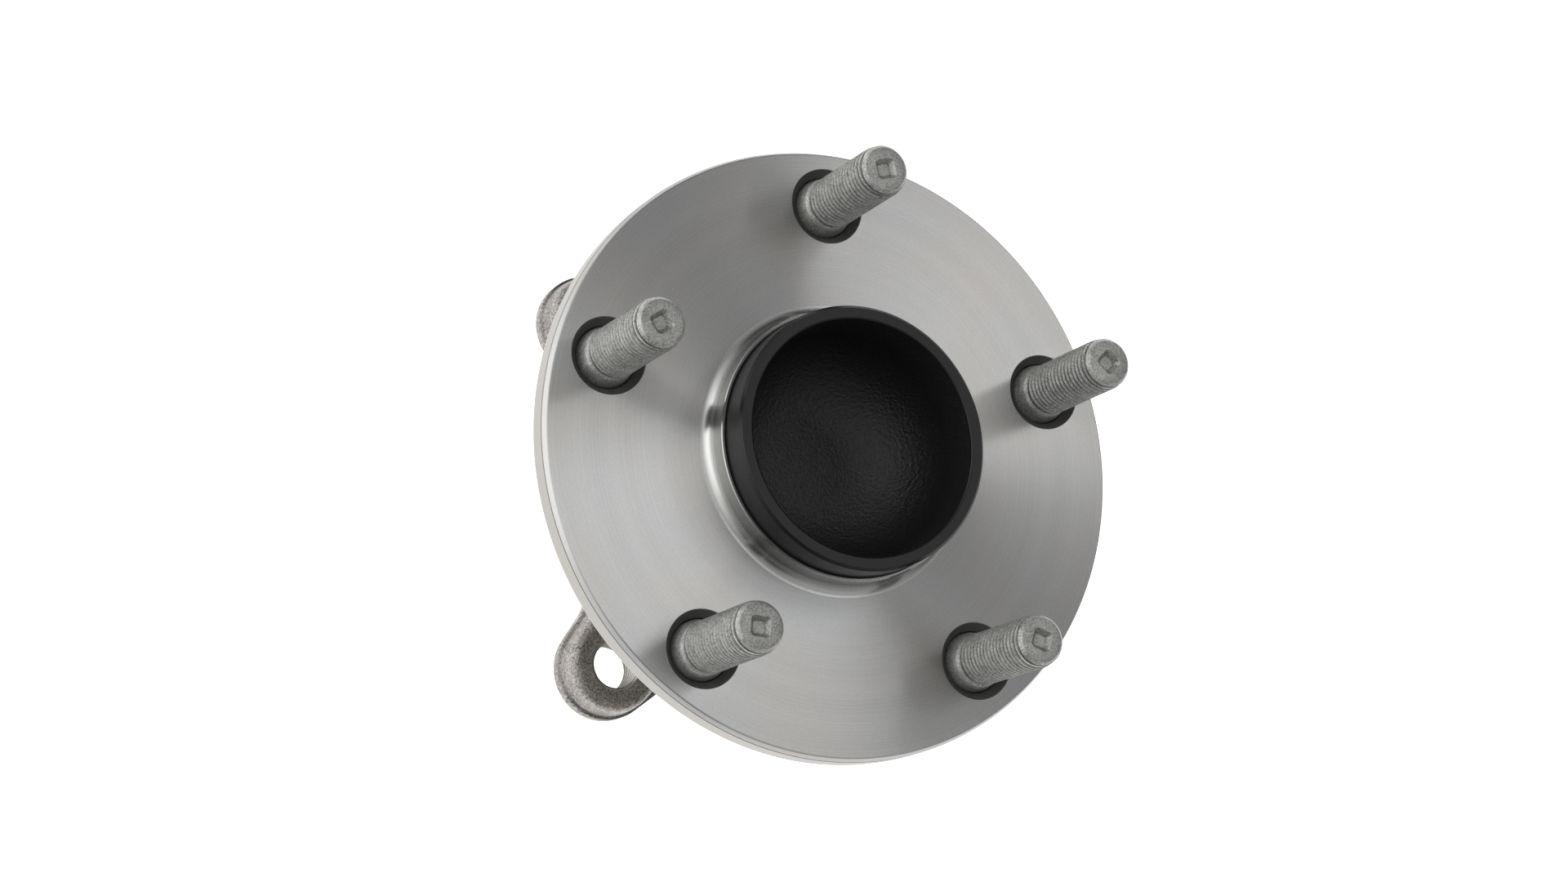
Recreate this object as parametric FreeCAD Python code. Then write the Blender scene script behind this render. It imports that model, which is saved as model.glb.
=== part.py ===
import FreeCAD, Part
import math
import os

# Flanged wheel hub bearing for a wheel that isn't driven, in millimetres.
# The axle is the Z axis, and +Z points out of the car.
# X and Y run along the sides of the rectangle of the four knuckle bolts.
# Heights are measured from the face the wheel bolts to. Each piece is lifted when it is saved,
# so that z = 0 in the saved parts is the face bolted to the knuckle.

# Wheel bolting
bolt_circle_d = 114.3
stud_count = 5
first_stud_angle = 87.8

# Wheel flange
rim_beyond_studs = 12.75
flange_t = 8.5
flange_front_edge = 1.0
flange_back_edge = 2.3
flange_root_t = 12.5
flange_root_beyond_ring = 1.0
flange_root_slope = 4.5

# Pilots and the hollow of the wheel pilot
wheel_pilot_d = 60.0
wheel_pilot_h = 14.4
wheel_pilot_edge = 0.6
brake_pilot_step = 1.0
brake_pilot_h = 6.8
brake_pilot_edge = 0.4
pilot_foot_r = 2.4
bowl_wall = 3.2
bowl_depth = 16.0
bowl_corner_r = 18.0
bowl_mouth_r = 1.2

# Wheel studs
stud_thread_d = 12.0
stud_reach = 29.8
stud_knurl_grip = 0.05
stud_knurl_top_gap = 1.0
stud_shoulder_gap = 0.25
stud_shoulder_top_d = 12.2
stud_shoulder_h = 1.7
stud_relief_d = 10.9
stud_relief_w = 0.8
stud_tip_d = 9.1
stud_tip_chamfer = 1.3
stud_lead_in = 1.6
stud_lead_in_d = 11.3
stud_head_d = 19.0
stud_head_t = 3.2
stud_head_edge = 1.0
stud_hole_d = 14.2
countersink_w = 1.75
countersink_depth = 2.0
pit_w = 4.1
pit_floor_w = 2.9
pit_depth = 1.2
pit_turns = (10.0, 28.0, 82.0, 69.0, 42.0)

# Bearing rows
ball_d = 11.906
ball_count = 13
pitch_d = 57.0
outboard_row_z = -27.5
row_spacing = 22.0
contact_angle = 35.0
groove_conformity = 0.52
race_clearance = 0.08
inner_shoulder_drop = 1.9
outer_land_rise = 2.5
press_fit = 0.02

# Stem of the hub and the small inner ring on it
stem_d = 34.0
seal_land_step = 2.6
seal_land_end_z = -20.5
inner_ring_w = 20.5
inner_ring_chamfer = 1.5
swage_overhang = 6.0
swage_h = 4.0
swage_round = 2.0
stem_end_bore_d = 23.0
stem_end_bore_depth = 11.0
stem_end_bore_taper = 3.0

# Outer ring
ring_outboard_z = -14.0
ring_body_d = 82.0
ring_edge = 1.2
ring_plate_beyond_body = 3.0
spigot_d = 76.0
spigot_h = 10.0
spigot_edge = 1.2
seal_bore_step = 1.0
seal_bore_depth = 6.6
cap_bore_step = 0.6
cap_bore_depth = 7.0
bore_lead = 0.5

# Ears of the outer ring and their threaded holes
ear_spacing_x = 72.0
ear_spacing_y = 82.0
ear_r = 11.8
ear_front_z = -47.5
ear_t = 10.0
ear_plate_t = 3.5
ear_ledge = 0.5
ear_draft = 0.6
ear_boss_flare = 4.0
ear_flare_x = 5.0
ear_flare_y = 15.0
ear_edge_r = 2.2
ear_neck_r = 10.0
ear_hole_d = 10.65
ear_hole_front_chamfer = 0.5
ear_hole_back_chamfer = 1.0
ear_rear_edge = 0.4
body_fillet_r = 2.5

# Cages
cage_clearance = 0.4
pocket_clearance = 0.15
cage_finger_h = 2.2
cage_back_t = 2.2

# Outboard seal
slinger_t = 0.6
slinger_overlap = 0.9
slinger_sleeve_w = 6.4
seal_case_t = 0.7
seal_case_inset = 0.5
seal_case_w = 5.6
seal_case_leg = 3.1
lip_gap = 0.1
lip_body_t = 1.0
lip_t = 0.7
axial_lip_set_in = 0.4
axial_lip_spread = 1.1
radial_lip_lean = 1.6

# Encoder ring on the inner ring, and the closing cap
encoder_t = 0.7
encoder_rim_gap = 1.1
encoder_sleeve_w = 4.2
encoder_overhang = 0.7
magnet_t = 1.0
magnet_inner_step = 1.2
cap_t = 0.9
cap_w = 4.7
cap_inset = 1.3
cap_corner_r = 2.0
cap_dish_d = 40.0
cap_dish_h = 0.8
gasket_t = 1.2
gasket_w = 1.0

# Sizes that follow from the ones above
stud_circle_r = bolt_circle_d / 2
flange_r = stud_circle_r + rim_beyond_studs
wheel_pilot_r = wheel_pilot_d / 2
brake_pilot_r = wheel_pilot_r + brake_pilot_step
stud_hole_r = stud_hole_d / 2
ball_r = ball_d / 2
pitch_r = pitch_d / 2
inner_shoulder_r = pitch_r - inner_shoulder_drop
outer_land_r = pitch_r + outer_land_rise
seal_land_r = inner_shoulder_r + seal_land_step
stem_r = stem_d / 2
inboard_row_z = outboard_row_z - row_spacing
inner_ring_z = (outboard_row_z + inboard_row_z) / 2 - 0.5
inner_ring_back_z = inner_ring_z - inner_ring_w
groove_r = groove_conformity * ball_d
groove_shift = groove_r - ball_r - race_clearance
contact_sin = math.sin(math.radians(contact_angle))
contact_cos = math.cos(math.radians(contact_angle))
outer_groove_r = pitch_r - groove_shift * contact_cos + groove_r
seal_bore_r = outer_groove_r + seal_bore_step
cap_bore_r = outer_groove_r + cap_bore_step
ring_body_r = ring_body_d / 2
ring_plate_r = ring_body_r + ring_plate_beyond_body
ring_core_r = (ring_body_r + seal_bore_r) / 2
seal_case_inner_r = seal_bore_r - seal_case_leg
encoder_flange_r = cap_bore_r - cap_t - encoder_rim_gap
ear_back_z = ear_front_z - ear_t
lift = FreeCAD.Vector(0, 0, -ear_back_z)
spigot_end_z = ear_back_z - spigot_h
ear_circle_r = math.hypot(ear_spacing_x, ear_spacing_y) / 2
ear_angle = math.degrees(math.atan2(ear_spacing_y, ear_spacing_x))
ear_angles = (ear_angle, 180 - ear_angle, 180 + ear_angle, 360 - ear_angle)
cap_bore_z = spigot_end_z + cap_bore_depth

axle = FreeCAD.Vector(0, 0, 1)
centre = FreeCAD.Vector(0, 0, 0)


def at(r, z, angle=0.0):
    """A point at radius r and height z, turned about the axle."""
    turn = math.radians(angle)
    return FreeCAD.Vector(r * math.cos(turn), r * math.sin(turn), z)


def arc(mid_r, mid_z, r, z):
    """A profile step: an arc through a middle point to an end point."""
    return (mid_r, mid_z, r, z)


def round_step(centre_r, centre_z, radius, mid_angle, end_angle):
    """A profile step: an arc about a centre, its angles measured from +R towards +Z."""
    mid = math.radians(mid_angle)
    end = math.radians(end_angle)
    return arc(centre_r + radius * math.cos(mid), centre_z + radius * math.sin(mid),
               centre_r + radius * math.cos(end), centre_z + radius * math.sin(end))


def turned(steps, x=0.0, y=0.0):
    """A solid of revolution about Z from a closed profile of lines and arcs."""
    here = at(*steps[0])
    first = here
    edges = []
    for step in steps[1:]:
        if len(step) == 4:
            there = at(step[2], step[3])
            edges.append(Part.Arc(here, at(step[0], step[1]), there).toShape())
        else:
            there = at(*step)
            edges.append(Part.LineSegment(here, there).toShape())
        here = there
    if here.distanceToPoint(first) > 1e-6:
        edges.append(Part.LineSegment(here, first).toShape())
    solid = Part.Face(Part.Wire(edges)).revolve(centre, axle, 360)
    solid.translate(FreeCAD.Vector(x, y, 0))
    return solid


def drilled(r, low_z, high_z, place):
    """A cylinder to cut with, between two heights."""
    foot = FreeCAD.Vector(place.x, place.y, low_z)
    return Part.makeCylinder(r, high_z - low_z, foot, axle)


def countersunk(r_low, r_high, low_z, high_z, place):
    """A cone to cut with, between two heights."""
    foot = FreeCAD.Vector(place.x, place.y, low_z)
    return Part.makeCone(r_low, r_high, high_z - low_z, foot, axle)


def save(shape, node):
    """Writes one node's STEP file, checked first and lifted to the knuckle face's frame."""
    if not shape.isValid():
        raise ValueError(node + " isn't a valid shape")
    lifted = shape.translated(lift)
    lifted.exportStep("parts/" + node + ".step")
    print(node, "solids", len(shape.Solids), "volume", round(shape.Volume, 1))


def groove_centre(row_z, side, inner):
    """Centre of a race groove's arc. side is +1 on the outboard row and -1 on the inboard row.

    The balls of each row meet the inner race on the side away from the other row, and the
    outer race on the side towards it, so the two rows carry thrust both ways."""
    away = 1 if inner else -1
    return (pitch_r + away * groove_shift * contact_cos,
            row_z - side * away * groove_shift * contact_sin)


def inner_race(row_z, side):
    """The shoulder corner, the groove step and the bottom radius of an inner race."""
    groove_c_r, groove_c_z = groove_centre(row_z, side, True)
    reach = math.sqrt(groove_r ** 2 - (groove_c_r - inner_shoulder_r) ** 2)
    shoulder_z = groove_c_z + side * reach
    bottom_r = groove_c_r - groove_r
    mid_angle = math.radians(45)
    mid = (groove_c_r - groove_r * math.cos(mid_angle), groove_c_z + side * groove_r * math.sin(mid_angle))
    return (inner_shoulder_r, shoulder_z), mid, (bottom_r, groove_c_z)


def outer_race(row_z, side):
    """The land corner, a point of the groove and the bottom of an outer race."""
    groove_c_r, groove_c_z = groove_centre(row_z, side, False)
    reach = math.sqrt(groove_r ** 2 - (outer_land_r - groove_c_r) ** 2)
    land_z = groove_c_z - side * reach
    mid_angle = math.radians(45)
    mid = (groove_c_r + groove_r * math.cos(mid_angle), groove_c_z - side * groove_r * math.sin(mid_angle))
    return (outer_land_r, land_z), mid, (outer_groove_r, groove_c_z)


def stud_place(number):
    """Where a stud's axis meets the flange face."""
    return at(stud_circle_r, 0, first_stud_angle + number * 360 / stud_count)


def wheel_hub():
    """The forged hub: flange, pilots, bowl, the outboard inner race and the rolled-over stem."""
    bowl_r = wheel_pilot_r - bowl_wall
    bowl_floor_r = bowl_r - bowl_corner_r
    bowl_corner_z = bowl_corner_r - bowl_depth
    root_r = ring_body_r + flange_root_beyond_ring
    swage_r = stem_r + swage_overhang
    swage_z = inner_ring_back_z - swage_h
    bore_r = stem_end_bore_d / 2
    bore_top_z = swage_z + stem_end_bore_depth
    shoulder, groove_mid, bottom = inner_race(outboard_row_z, 1)
    steps = [
        (0, -bowl_depth),
        (bowl_floor_r, -bowl_depth),
        round_step(bowl_floor_r, bowl_corner_z, bowl_corner_r, -45, 0),
        (bowl_r, wheel_pilot_h - bowl_mouth_r),
        round_step(bowl_r + bowl_mouth_r, wheel_pilot_h - bowl_mouth_r, bowl_mouth_r, 135, 90),
        (wheel_pilot_r - wheel_pilot_edge, wheel_pilot_h),
        (wheel_pilot_r, wheel_pilot_h - wheel_pilot_edge),
        (wheel_pilot_r, brake_pilot_h),
        (brake_pilot_r - brake_pilot_edge, brake_pilot_h),
        (brake_pilot_r, brake_pilot_h - brake_pilot_edge),
        (brake_pilot_r, pilot_foot_r),
        round_step(brake_pilot_r + pilot_foot_r, pilot_foot_r, pilot_foot_r, 225, 270),
        (flange_r - flange_front_edge, 0),
        (flange_r, -flange_front_edge),
        (flange_r, flange_back_edge - flange_t),
        (flange_r - flange_back_edge, -flange_t),
        (root_r + flange_root_slope, -flange_t),
        (root_r, -flange_root_t),
        (seal_land_r, -flange_root_t),
        (seal_land_r, seal_land_end_z),
        (shoulder[0], seal_land_end_z),
        shoulder,
        groove_mid + bottom,
        (bottom[0], inner_ring_z),
        (stem_r, inner_ring_z),
        (stem_r, inner_ring_back_z + inner_ring_chamfer),
        (stem_r + inner_ring_chamfer, inner_ring_back_z),
        (swage_r, inner_ring_back_z),
        (swage_r, inner_ring_back_z - swage_h + swage_round),
        round_step(swage_r - swage_round, swage_z + swage_round, swage_round, -45, -90),
        (bore_r + swage_round, swage_z),
        (bore_r, swage_z + swage_round),
        (bore_r, bore_top_z),
        (0, bore_top_z + stem_end_bore_taper),
    ]
    hub = turned(steps)
    for number in range(stud_count):
        place = stud_place(number)
        hub = hub.cut(drilled(stud_hole_r, -flange_t - 1, 1, place))
        hub = hub.cut(countersunk(stud_hole_r, stud_hole_r + countersink_w, -countersink_depth, 0, place))
    return hub


def wheel_stud(number):
    """A stud pressed through the flange from behind, with a square pit in its tip."""
    thread_r = stud_thread_d / 2
    head_r = stud_head_d / 2
    knurl_r = stud_hole_r + stud_knurl_grip
    shoulder_r = stud_hole_r - stud_shoulder_gap
    relief_r = stud_relief_d / 2
    head_z = -flange_t - stud_head_t
    knurl_top_z = -countersink_depth - stud_knurl_top_gap
    thread_z = stud_shoulder_h + stud_relief_w
    lead_in_z = stud_reach - stud_tip_chamfer - stud_lead_in
    place = stud_place(number)
    steps = [
        (0, head_z),
        (head_r - stud_head_edge, head_z),
        (head_r, head_z + stud_head_edge),
        (head_r, -flange_t),
        (knurl_r, -flange_t),
        (knurl_r, knurl_top_z),
        (shoulder_r, knurl_top_z + knurl_r - shoulder_r),
        (shoulder_r, -countersink_depth),
        (stud_shoulder_top_d / 2, stud_shoulder_h),
        (relief_r, stud_shoulder_h),
        (relief_r, thread_z),
        (thread_r, thread_z + thread_r - relief_r),
        (thread_r, lead_in_z),
        (stud_lead_in_d / 2, stud_reach - stud_tip_chamfer),
        (stud_tip_d / 2, stud_reach),
        (0, stud_reach),
    ]
    stud = turned(steps, place.x, place.y)
    return stud.cut(tip_pit(place, pit_turns[number % len(pit_turns)]))


def tip_pit(place, turn):
    """The square sunk pit of a stud's tip, as a solid to cut with."""
    rings = []
    for width, z in ((pit_floor_w, stud_reach - pit_depth), (pit_w, stud_reach)):
        corners = [at(width / math.sqrt(2), z, turn + 45 + quarter * 90) for quarter in range(5)]
        ring = Part.makePolygon(corners)
        ring.translate(FreeCAD.Vector(place.x, place.y, 0))
        rings.append(ring)
    return Part.makeLoft(rings, True, True)


def inner_ring():
    """The small inner ring pressed on the stem, with the inboard inner race."""
    bore_r = stem_r - press_fit
    shoulder, groove_mid, bottom = inner_race(inboard_row_z, -1)
    return turned([
        (bore_r, inner_ring_z),
        (bottom[0], inner_ring_z),
        bottom,
        groove_mid + shoulder,
        (shoulder[0], inner_ring_back_z),
        (bore_r + inner_ring_chamfer, inner_ring_back_z),
        (bore_r, inner_ring_back_z + inner_ring_chamfer),
    ])


def ring_body():
    """The turned outer ring with both outer races, the seal bore, the cap bore and the spigot."""
    spigot_r = spigot_d / 2
    foot_r = ring_body_r + body_fillet_r
    plate_z = ear_back_z + ear_plate_t
    land_1, mid_1, bottom_1 = outer_race(outboard_row_z, 1)
    land_2, mid_2, bottom_2 = outer_race(inboard_row_z, -1)
    return turned([
        (seal_bore_r + bore_lead, ring_outboard_z),
        (ring_body_r - ring_edge, ring_outboard_z),
        (ring_body_r, ring_outboard_z - ring_edge),
        (ring_body_r, plate_z + body_fillet_r),
        round_step(foot_r, plate_z + body_fillet_r, body_fillet_r, 225, 270),
        (foot_r, plate_z - ear_plate_t / 2),
        (ring_core_r, plate_z - ear_plate_t / 2),
        (ring_core_r, ear_back_z),
        (spigot_r, ear_back_z),
        (spigot_r, spigot_end_z + spigot_edge),
        (spigot_r - spigot_edge, spigot_end_z),
        (cap_bore_r + bore_lead, spigot_end_z),
        (cap_bore_r, spigot_end_z + bore_lead),
        (cap_bore_r, cap_bore_z),
        (bottom_2[0], cap_bore_z),
        bottom_2,
        mid_2 + land_2,
        land_1,
        mid_1 + bottom_1,
        (bottom_1[0], ring_outboard_z - seal_bore_depth),
        (seal_bore_r, ring_outboard_z - seal_bore_depth),
        (seal_bore_r, ring_outboard_z - bore_lead),
    ])


def ear_outline(end_r, z, angle, flares):
    """The outline of one ear: a round end about its hole and two sides that spread towards the axle.

    The flares are the angles of its two sides, the clockwise side first."""
    root_r = ring_core_r - ear_r
    root_reach = ear_circle_r - root_r
    corners = []
    for way, flare in zip((-1, 1), flares):
        spread = math.radians(flare)
        touch_x = end_r * math.sin(spread)
        touch_y = end_r * math.cos(spread)
        root_y = touch_y + (touch_x + root_reach) * math.tan(spread)
        corners.append((FreeCAD.Vector(root_r, way * root_y, z),
                        FreeCAD.Vector(ear_circle_r + touch_x, way * touch_y, z)))
    (root_1, touch_1), (root_2, touch_2) = corners
    edges = [
        Part.LineSegment(root_1, touch_1).toShape(),
        Part.Arc(touch_1, at(ear_circle_r + end_r, z), touch_2).toShape(),
        Part.LineSegment(touch_2, root_2).toShape(),
        Part.LineSegment(root_2, root_1).toShape(),
    ]
    wire = Part.Wire(edges)
    wire.rotate(centre, axle, angle)
    return wire


def ear_boss(angle):
    """The thick, drafted front of an ear, its front edge rounded as the forging die leaves it."""
    foot_r = ear_r - ear_ledge
    flares = (ear_boss_flare, ear_boss_flare)
    low = ear_outline(foot_r, ear_back_z + ear_plate_t / 2, angle, flares)
    high = ear_outline(foot_r - ear_draft, ear_front_z, angle, flares)
    boss = Part.makeLoft([low, high], True, True)
    hole = at(ear_circle_r, ear_front_z, angle)
    root = at(ring_core_r - ear_r, ear_front_z, angle)
    rim = []
    for edge in boss.Edges:
        flat = edge.BoundBox.ZMin > ear_front_z - 0.01
        middle = edge.CenterOfMass
        at_root = middle.distanceToPoint(root) < middle.distanceToPoint(hole) / 2
        if flat and not at_root:
            rim.append(edge)
    return boss.makeFillet(ear_edge_r, rim)


def ear_plate():
    """The thin rear plate that joins the ears, with hollow curves between them."""
    plate = Part.makeCylinder(ring_plate_r, ear_plate_t, at(0, ear_back_z), axle)
    for number, angle in enumerate(ear_angles):
        flares = (ear_flare_x, ear_flare_y) if number % 2 == 0 else (ear_flare_y, ear_flare_x)
        outline = Part.Face(ear_outline(ear_r, ear_back_z, angle, flares))
        plate = plate.fuse(outline.extrude(FreeCAD.Vector(0, 0, ear_plate_t)))
    plate = plate.removeSplitter()
    necks = []
    for edge in plate.Edges:
        box = edge.BoundBox
        upright = abs(box.ZLength - ear_plate_t) < 1e-4 and box.XLength + box.YLength < 1e-4
        corner = abs(math.hypot(edge.CenterOfMass.x, edge.CenterOfMass.y) - ring_plate_r) < 0.01
        if upright and corner:
            necks.append(edge)
    plate = plate.makeFillet(ear_neck_r, necks)
    rear = [edge for edge in plate.Edges if edge.BoundBox.ZMax < ear_back_z + 1e-4]
    return plate.makeChamfer(ear_rear_edge, rear)


def outer_ring():
    """The forged outer ring: races inside, four threaded ears and the knuckle spigot outside."""
    core = drilled(ring_core_r, spigot_end_z - 1, ring_outboard_z + 1, centre)
    forging = ring_body().fuse(ear_plate().cut(core))
    for angle in ear_angles:
        forging = forging.fuse(ear_boss(angle).cut(core))
    front_r = ear_hole_d / 2 + ear_hole_front_chamfer
    back_r = ear_hole_d / 2 + ear_hole_back_chamfer
    for angle in ear_angles:
        place = at(ear_circle_r, 0, angle)
        forging = forging.cut(drilled(ear_hole_d / 2, ear_back_z - 1, ear_front_z + 1, place))
        forging = forging.cut(countersunk(ear_hole_d / 2, front_r,
                                          ear_front_z - ear_hole_front_chamfer, ear_front_z, place))
        forging = forging.cut(countersunk(back_r, ear_hole_d / 2,
                                          ear_back_z, ear_back_z + ear_hole_back_chamfer, place))
    return forging.removeSplitter()


def ball_angle(number, row):
    """Where a ball lies round the axle. The inboard row is half a step on."""
    return (number + row / 2) * 360 / ball_count


def cage(row_z, side, row):
    """A crown cage: a ring behind the balls with fingers that reach past their middles."""
    inner_r = inner_shoulder_r + cage_clearance
    outer_r = outer_land_r - cage_clearance
    pocket_r = ball_r + pocket_clearance
    finger_z = row_z + side * cage_finger_h
    back_z = row_z - side * (pocket_r + cage_back_t)
    ring = turned([(inner_r, finger_z), (outer_r, finger_z), (outer_r, back_z), (inner_r, back_z)])
    for number in range(ball_count):
        pocket = Part.makeSphere(pocket_r, at(pitch_r, row_z, ball_angle(number, row)))
        ring = ring.cut(pocket)
    return ring


def seal_slinger():
    """The stainless ring on the hub's land, which the seal lips run against."""
    sleeve_r = seal_land_r - press_fit
    rim_r = seal_bore_r + slinger_overlap
    flange_z = -flange_root_t
    return turned([
        (sleeve_r, flange_z),
        (rim_r, flange_z),
        (rim_r, flange_z - slinger_t),
        (seal_land_r + slinger_t, flange_z - slinger_t),
        (seal_land_r + slinger_t, flange_z - slinger_sleeve_w),
        (sleeve_r, flange_z - slinger_sleeve_w),
    ])


def seal_case_back_z():
    """The height of the seal case's inner face, which carries the rubber."""
    return ring_outboard_z - seal_case_inset - seal_case_w + seal_case_t


def seal_case():
    """The pressed steel case of the outboard seal."""
    outer_r = seal_bore_r + press_fit
    front_z = ring_outboard_z - seal_case_inset
    back_z = seal_case_back_z()
    return turned([
        (outer_r, front_z),
        (outer_r, back_z - seal_case_t),
        (seal_case_inner_r, back_z - seal_case_t),
        (seal_case_inner_r, back_z),
        (outer_r - seal_case_t, back_z),
        (outer_r - seal_case_t, front_z),
    ])


def seal_lips():
    """The rubber bonded to the seal case: one lip runs on the slinger's sleeve, one on its flange."""
    back_z = seal_case_back_z()
    body_z = back_z + lip_body_t
    sleeve_r = seal_land_r + slinger_t + lip_gap
    flange_z = -flange_root_t - slinger_t - lip_gap
    bonded_r = seal_bore_r + press_fit - seal_case_t
    root_r = seal_case_inner_r + axial_lip_set_in
    tip_r = root_r + axial_lip_spread
    return turned([
        (bonded_r, back_z),
        (seal_case_inner_r, back_z),
        (seal_case_inner_r, back_z - seal_case_t),
        (seal_case_inner_r - lip_t, back_z - seal_case_t),
        (sleeve_r, body_z + radial_lip_lean),
        (sleeve_r + lip_t, body_z + radial_lip_lean),
        (seal_case_inner_r, body_z),
        (root_r, body_z),
        (tip_r - lip_t, flange_z),
        (tip_r, flange_z),
        (root_r + lip_t, body_z),
        (bonded_r, body_z),
    ])


def encoder_core():
    """The steel carrier of the speed encoder, pressed on the inner ring's shoulder."""
    seat_r = inner_shoulder_r - press_fit
    outer_r = inner_shoulder_r + encoder_t
    flange_z = inner_ring_back_z - encoder_overhang
    return turned([
        (seat_r, flange_z + encoder_sleeve_w),
        (seat_r, flange_z),
        (encoder_flange_r, flange_z),
        (encoder_flange_r, flange_z + encoder_t),
        (outer_r, flange_z + encoder_t),
        (outer_r, flange_z + encoder_sleeve_w),
    ])


def encoder_magnet():
    """The magnetised rubber ring bonded to the encoder's inboard face."""
    inner_r = inner_shoulder_r + magnet_inner_step
    face_z = inner_ring_back_z - encoder_overhang
    return turned([
        (inner_r, face_z),
        (encoder_flange_r, face_z),
        (encoder_flange_r, face_z - magnet_t),
        (inner_r, face_z - magnet_t),
    ])


def end_cap():
    """The drawn cap pressed in the outer ring's inboard bore."""
    outer_r = cap_bore_r + press_fit
    inner_r = outer_r - cap_t
    back_z = spigot_end_z + cap_inset
    floor_z = back_z + cap_t
    dish_r = cap_dish_d / 2
    outer_round = cap_corner_r
    inner_round = cap_corner_r - cap_t
    return turned([
        (outer_r, back_z + cap_w),
        (outer_r, back_z + outer_round),
        round_step(outer_r - outer_round, back_z + outer_round, outer_round, -45, -90),
        (dish_r + cap_dish_h, back_z),
        (dish_r, back_z + cap_dish_h),
        (0, back_z + cap_dish_h),
        (0, floor_z + cap_dish_h),
        (dish_r, floor_z + cap_dish_h),
        (dish_r + cap_dish_h, floor_z),
        (outer_r - outer_round, floor_z),
        round_step(outer_r - outer_round, back_z + outer_round, inner_round, -45, 0),
        (inner_r, back_z + cap_w),
    ])


def end_cap_gasket():
    """The rubber ring between the cap's edge and the step of its bore."""
    inner_r = cap_bore_r - gasket_t
    cap_edge_z = spigot_end_z + cap_inset + cap_w
    return turned([
        (inner_r, cap_edge_z),
        (cap_bore_r, cap_edge_z),
        (cap_bore_r, cap_edge_z + gasket_w),
        (inner_r, cap_edge_z + gasket_w),
    ])


def main():
    os.makedirs("parts", exist_ok=True)
    save(wheel_hub(), "wheel_hub")
    for number in range(stud_count):
        save(wheel_stud(number), "wheel_stud_" + str(number + 1))
    save(inner_ring(), "inner_ring")
    save(outer_ring(), "outer_ring")
    rows = (("outboard", outboard_row_z, 1, 0), ("inboard", inboard_row_z, -1, 1))
    for name, row_z, side, row in rows:
        save(cage(row_z, side, row), name + "_cage")
        for number in range(ball_count):
            ball = Part.makeSphere(ball_r, at(pitch_r, row_z, ball_angle(number, row)))
            save(ball, name + "_ball_" + str(number + 1).zfill(2))
    save(seal_slinger(), "seal_slinger")
    save(seal_case(), "seal_case")
    save(seal_lips(), "seal_lips")
    save(encoder_core(), "encoder_core")
    save(encoder_magnet(), "encoder_magnet")
    save(end_cap(), "end_cap")
    save(end_cap_gasket(), "end_cap_gasket")


main()
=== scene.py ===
import math

import bmesh
import bpy
from mathutils import Matrix, Vector


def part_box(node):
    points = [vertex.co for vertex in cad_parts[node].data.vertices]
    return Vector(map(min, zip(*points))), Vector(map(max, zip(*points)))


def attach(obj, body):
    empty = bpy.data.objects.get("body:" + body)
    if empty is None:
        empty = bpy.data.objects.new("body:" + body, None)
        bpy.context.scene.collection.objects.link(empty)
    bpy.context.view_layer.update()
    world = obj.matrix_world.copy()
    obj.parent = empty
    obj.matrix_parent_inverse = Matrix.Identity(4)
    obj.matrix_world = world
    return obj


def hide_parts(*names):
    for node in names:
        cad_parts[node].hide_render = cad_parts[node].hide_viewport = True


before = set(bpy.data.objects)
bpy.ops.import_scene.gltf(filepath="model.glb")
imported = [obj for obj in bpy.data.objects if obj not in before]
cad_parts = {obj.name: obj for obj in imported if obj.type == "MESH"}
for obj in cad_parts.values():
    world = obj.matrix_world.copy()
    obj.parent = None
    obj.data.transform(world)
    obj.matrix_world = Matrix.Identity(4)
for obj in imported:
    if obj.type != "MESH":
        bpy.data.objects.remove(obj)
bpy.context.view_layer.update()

bl_info = {
    "name": "Wheel Hub Bearing",
    "version": (1, 0, 0),
    "blender": (4, 5, 0),
    "location": "3D View > Sidebar > Hub Bearing",
    "description": "Dresses the packed wheel hub bearing: forging, studs, threads, seals and studio",
    "category": "Object",
}

MM = 0.001
FULL_TURN = 2 * math.pi
STUDS = 5

# Points in one turn of the forging, of a thread, and of a drilled hole.
TURNED_STEPS = 288
THREAD_STEPS = 72
HOLE_STEPS = 96

# Points closer than WELD are joined, and edges shorter than SPECK are dissolved.
WELD = 0.002 * MM
SPECK = 0.001 * MM

# Heights are measured from the face the wheel bolts to, and LIFT puts a finished mesh in the frame.
PILOT_HEIGHT = 14.4 * MM
WHEEL_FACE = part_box("wheel_hub")[1][2] - PILOT_HEIGHT
LIFT = Matrix.Translation((0, 0, WHEEL_FACE))
FLANGE_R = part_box("wheel_hub")[1][0]


def heights(node):
    """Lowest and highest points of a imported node, measured from the wheel face."""
    low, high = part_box(node)
    return low[2] - WHEEL_FACE, high[2] - WHEEL_FACE


HUB_END, HUB_TOP = heights("wheel_hub")
RING_END, RING_TOP = heights("outer_ring")
STUD_HEAD, STUD_TIP = heights("wheel_stud_1")
SLINGER_TOP = heights("seal_slinger")[1]
INNER_END, INNER_TOP = heights("inner_ring")


# Settings


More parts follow.
